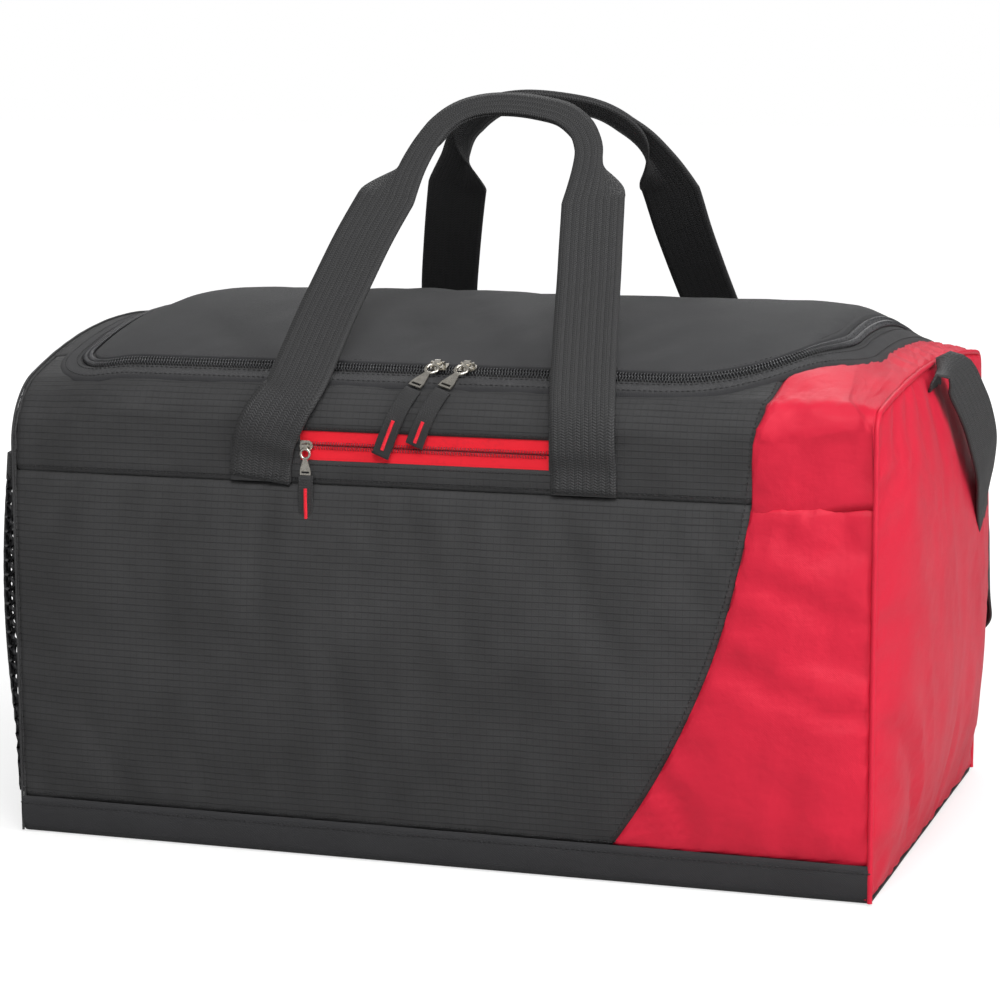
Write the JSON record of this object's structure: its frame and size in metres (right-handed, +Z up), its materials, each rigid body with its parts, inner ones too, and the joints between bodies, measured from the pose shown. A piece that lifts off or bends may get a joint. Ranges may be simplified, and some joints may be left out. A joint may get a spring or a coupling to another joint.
{
  "type": "hockey equipment bag",
  "caption": "Soft kit bag in black and red cloth with a U-shaped zipped lid, webbing handles, front zip pocket, mesh end pocket and shoulder strap.",
  "frame": {"origin": "centre of the base on the floor", "axes": "+X towards the red end, +Y towards the back, +Z up"},
  "size_m": [0.6232, 0.3767, 0.4725],
  "materials": {
    "black_ripstop": "matt woven ripstop polyester",
    "base_cloth": "plain woven polyester",
    "red_nylon": "glossy coated nylon",
    "webbing": "ribbed polypropylene webbing",
    "binding": "grosgrain tape",
    "lining": "coated lining cloth",
    "mesh": "open warp-knit mesh",
    "board": "stiff sheet",
    "zip_tape": "woven zip tape",
    "zip_coil": "nylon coil",
    "red_tape": "woven zip tape",
    "red_coil": "nylon coil",
    "buckle": "moulded plastic",
    "nickel": "polished nickel plate",
    "red_thread": "satin stitched thread"
  },
  "bodies": {
    "bag_shell": {"base_panel": "base_cloth", "base_board": "board", "base_lining": "lining", "front_pocket_panel": "black_ripstop", "front_corner_panel": "red_nylon", "front_yoke_panel": "black_ripstop", "corner_yoke_panel": "red_nylon", "top_strip_left": "black_ripstop", "back_panel": "black_ripstop", "back_corner_panel": "red_nylon", "back_yoke_panel": "black_ripstop", "back_corner_yoke_panel": "red_nylon", "end_panel_right": "red_nylon", "end_panel_left": "black_ripstop", "zip_facing": "base_cloth", "zip_tape_outer": "zip_tape", "zip_coil_outer": "zip_coil", "pocket_tape_upper": "red_tape", "pocket_tape_lower": "red_tape", "pocket_coil": "red_coil", "pocket_lining": "lining", "seam_binding_right": "binding", "seam_binding_left": "binding", "handle_feet": "webbing", "strap_feet": "webbing", "mesh_pocket": "mesh", "mesh_pocket_binding": "binding"},
    "lid": {"lid_panel": "base_cloth", "zip_tape_inner": "zip_tape", "zip_coil_inner": "zip_coil"},
    "front_handle": {"handle_front": "webbing"},
    "back_handle": {"handle_back": "webbing"},
    "strap": {"shoulder_strap": "webbing", "strap_adjuster": "buckle"},
    "main_slider_left_body": {"main_slider_left": "nickel"},
    "main_pull_left_body": {"main_pull_left": "nickel"},
    "main_tab_left_body": {"main_tab_left": "webbing", "main_tab_stitch_left": "red_thread"},
    "main_slider_right_body": {"main_slider_right": "nickel"},
    "main_pull_right_body": {"main_pull_right": "nickel"},
    "main_tab_right_body": {"main_tab_right": "webbing", "main_tab_stitch_right": "red_thread"},
    "pocket_slider_body": {"pocket_slider": "nickel"},
    "pocket_pull_body": {"pocket_pull": "nickel"},
    "pocket_tab_body": {"pocket_tab": "webbing", "pocket_tab_stitch": "red_thread"}
  },
  "joints": [
    {"name": "lid_open", "type": "hinge", "parent": "bag_shell", "child": "lid", "pos_m": [0, 0.135, 0.30672], "axis": [-1, 0, 0], "range_deg": [0, 110]},
    {"name": "handle_front_swing", "type": "hinge", "parent": "bag_shell", "child": "front_handle", "pos_m": [0, -0.1774, 0.262], "axis": [1, 0, 0], "range_deg": [0, 166]},
    {"name": "handle_back_swing", "type": "hinge", "parent": "bag_shell", "child": "back_handle", "pos_m": [0, 0.1774, 0.262], "axis": [-1, 0, 0], "range_deg": [0, 166]},
    {"name": "shoulder_strap_swing", "type": "hinge", "parent": "bag_shell", "child": "strap", "pos_m": [0, -0.019, 0.289], "axis": [1, 0, 0], "range_deg": [0, 130]},
    {"name": "main_slider_left_slide", "type": "slide", "parent": "bag_shell", "child": "main_slider_left_body", "axis": [-1, 0, 0], "range_m": [0, 0.19], "deforming": ["main_tab_left", "main_tab_stitch_left"]},
    {"name": "main_pull_left_lift", "type": "hinge", "parent": "main_slider_left_body", "child": "main_pull_left_body", "pos_m": [-0.001, -0.14335, 0.30943], "axis": [-1, 0, 0], "range_deg": [0, 120]},
    {"name": "main_tab_left_flex", "type": "hinge", "parent": "main_pull_left_body", "child": "main_tab_left_body", "pos_m": [-0.00924, -0.16006, 0.29773], "axis": [-0.9272, 0.3069, 0.2149], "range_deg": [0, 60]},
    {"name": "main_slider_right_slide", "type": "slide", "parent": "bag_shell", "child": "main_slider_right_body", "axis": [1, 0, 0], "range_m": [0, 0.08], "deforming": ["main_tab_right", "main_tab_stitch_right"]},
    {"name": "main_pull_right_lift", "type": "hinge", "parent": "main_slider_right_body", "child": "main_pull_right_body", "pos_m": [0.018, -0.14335, 0.30943], "axis": [-1, 0, 0], "range_deg": [0, 120]},
    {"name": "main_tab_right_flex", "type": "hinge", "parent": "main_pull_right_body", "child": "main_tab_right_body", "pos_m": [0.00976, -0.16006, 0.29773], "axis": [-0.9272, 0.3069, 0.2149], "range_deg": [0, 60]},
    {"name": "pocket_slider_slide", "type": "slide", "parent": "bag_shell", "child": "pocket_slider_body", "axis": [1, 0, 0], "range_m": [0, 0.146]},
    {"name": "pocket_pull_lift", "type": "hinge", "parent": "pocket_slider_body", "child": "pocket_pull_body", "pos_m": [-0.076, -0.1759, 0.2595], "axis": [-1, 0, 0], "range_deg": [0, 120]},
    {"name": "pocket_tab_flex", "type": "hinge", "parent": "pocket_pull_body", "child": "pocket_tab_body", "pos_m": [-0.076, -0.1759, 0.243], "axis": [-1, 0, 0], "range_deg": [0, 60]}
  ],
  "couplings": [
    {"joint": "handle_front_swing", "follows": "lid_open", "ratio": 1.5},
    {"joint": "handle_back_swing", "follows": "lid_open", "ratio": 1.5}
  ]
}
